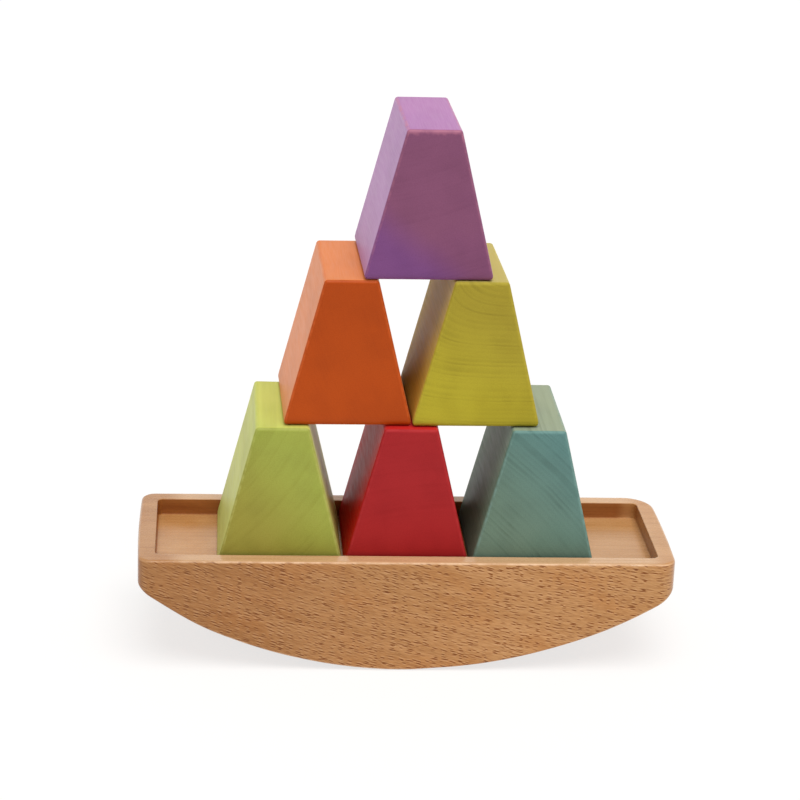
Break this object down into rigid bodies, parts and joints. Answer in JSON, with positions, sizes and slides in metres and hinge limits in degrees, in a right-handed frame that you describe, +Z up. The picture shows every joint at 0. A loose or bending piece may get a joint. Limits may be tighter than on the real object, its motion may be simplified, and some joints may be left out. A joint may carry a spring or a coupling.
{
  "type": "wooden balancing block toy",
  "caption": "Wooden rocker board with a curved underside and a shallow tray, holding a stepped stack of loose wedge blocks that are balanced and lifted off by hand.",
  "frame": {"origin": "lowest line of the rocker's curved underside, below the middle of the board", "axes": "+Z up, X along the rocker, +Y from the rocker's front face to its back face"},
  "size_m": [0.2348, 0.0802, 0.2389],
  "materials": {
    "beech": "satin",
    "green_stain": "satin",
    "red_stain": "satin",
    "teal_stain": "satin",
    "orange_stain": "satin",
    "yellow_stain": "satin",
    "purple_stain": "satin"
  },
  "bodies": {
    "rocker": {"rocker": "beech"},
    "green_block": {"block_green": "green_stain"},
    "red_block": {"block_red": "red_stain"},
    "teal_block": {"block_teal": "teal_stain"},
    "orange_block": {"block_orange": "orange_stain"},
    "yellow_block": {"block_yellow": "yellow_stain"},
    "purple_block": {"block_purple": "purple_stain"}
  },
  "joints": [
    {"name": "green_lift", "type": "slide", "parent": "rocker", "child": "green_block", "axis": [0, 0, 1], "range_m": [0, 0.03]},
    {"name": "red_lift", "type": "slide", "parent": "green_block", "child": "red_block", "axis": [0, 0, 1], "range_m": [0, 0.03]},
    {"name": "teal_lift", "type": "slide", "parent": "red_block", "child": "teal_block", "axis": [0, 0, 1], "range_m": [0, 0.03]},
    {"name": "orange_lift", "type": "slide", "parent": "teal_block", "child": "orange_block", "axis": [0, 0, 1], "range_m": [0, 0.03]},
    {"name": "yellow_lift", "type": "slide", "parent": "orange_block", "child": "yellow_block", "axis": [0, 0, 1], "range_m": [0, 0.03]},
    {"name": "purple_lift", "type": "slide", "parent": "yellow_block", "child": "purple_block", "axis": [0, 0, 1], "range_m": [0, 0.03]}
  ]
}
